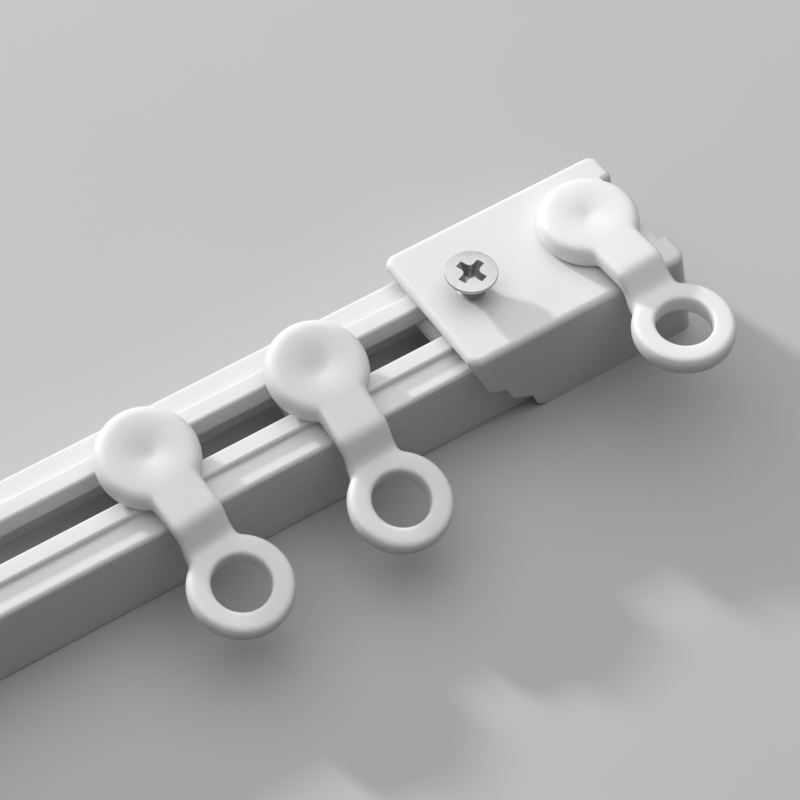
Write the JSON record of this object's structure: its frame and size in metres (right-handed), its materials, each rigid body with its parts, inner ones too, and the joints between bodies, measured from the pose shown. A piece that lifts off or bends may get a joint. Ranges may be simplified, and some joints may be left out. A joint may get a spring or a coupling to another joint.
{
  "type": "curtain track",
  "caption": "Slotted white plastic curtain track with clamped end caps and swivelling ring hangers, some of which slide along the slot.",
  "frame": {"origin": "centre of the rail's flat back face", "axes": "+X along the rail, +Z out of the slot, the hangers' rings point to -Y"},
  "size_m": [0.2406, 0.0413, 0.0222],
  "materials": {
    "rail_plastic": "extruded, glossy",
    "cap_plastic": "moulded, satin",
    "hanger_plastic": "moulded, satin",
    "glide_plastic": "moulded, satin",
    "screw_steel": "plated, bright"
  },
  "bodies": {
    "track": {"rail": "rail_plastic", "right_end_cap": "cap_plastic", "right_clamp_screw": "screw_steel", "right_glide": "glide_plastic", "left_end_cap": "cap_plastic", "left_clamp_screw": "screw_steel", "left_glide": "glide_plastic"},
    "first_runner": {"first_glide": "glide_plastic"},
    "first_hanger": {"first_hanger": "hanger_plastic"},
    "second_runner": {"second_glide": "glide_plastic"},
    "second_hanger": {"second_hanger": "hanger_plastic"},
    "right_hanger": {"right_hanger": "hanger_plastic"},
    "left_hanger": {"left_hanger": "hanger_plastic"}
  },
  "joints": [
    {"name": "first_runner_slide", "type": "slide", "parent": "track", "child": "first_runner", "axis": [1, 0, 0], "range_m": [-0.105, 0.0014]},
    {"name": "first_hanger_swivel", "type": "hinge", "parent": "first_runner", "child": "first_hanger", "pos_m": [0.0337, -0.0003, 0.01689], "axis": [0, -0.2334, 0.9724], "range_deg": [-17.3, 6.7]},
    {"name": "second_runner_slide", "type": "slide", "parent": "track", "child": "second_runner", "axis": [1, 0, 0], "range_m": [-0.0014, 0.0107]},
    {"name": "second_hanger_swivel", "type": "hinge", "parent": "second_runner", "child": "second_hanger", "pos_m": [0.0611, -0.0003, 0.01708], "axis": [0, -0.2639, 0.9646], "range_deg": [-13.5, 10.5]},
    {"name": "right_hanger_swivel", "type": "hinge", "parent": "track", "child": "right_hanger", "pos_m": [0.1081, 0, 0.01815], "axis": [0, 0, 1], "range_deg": [-13.4, 6.6]},
    {"name": "left_hanger_swivel", "type": "hinge", "parent": "track", "child": "left_hanger", "pos_m": [-0.1081, 0, 0.01815], "axis": [0, 0, 1], "range_deg": [-10, 10]}
  ]
}
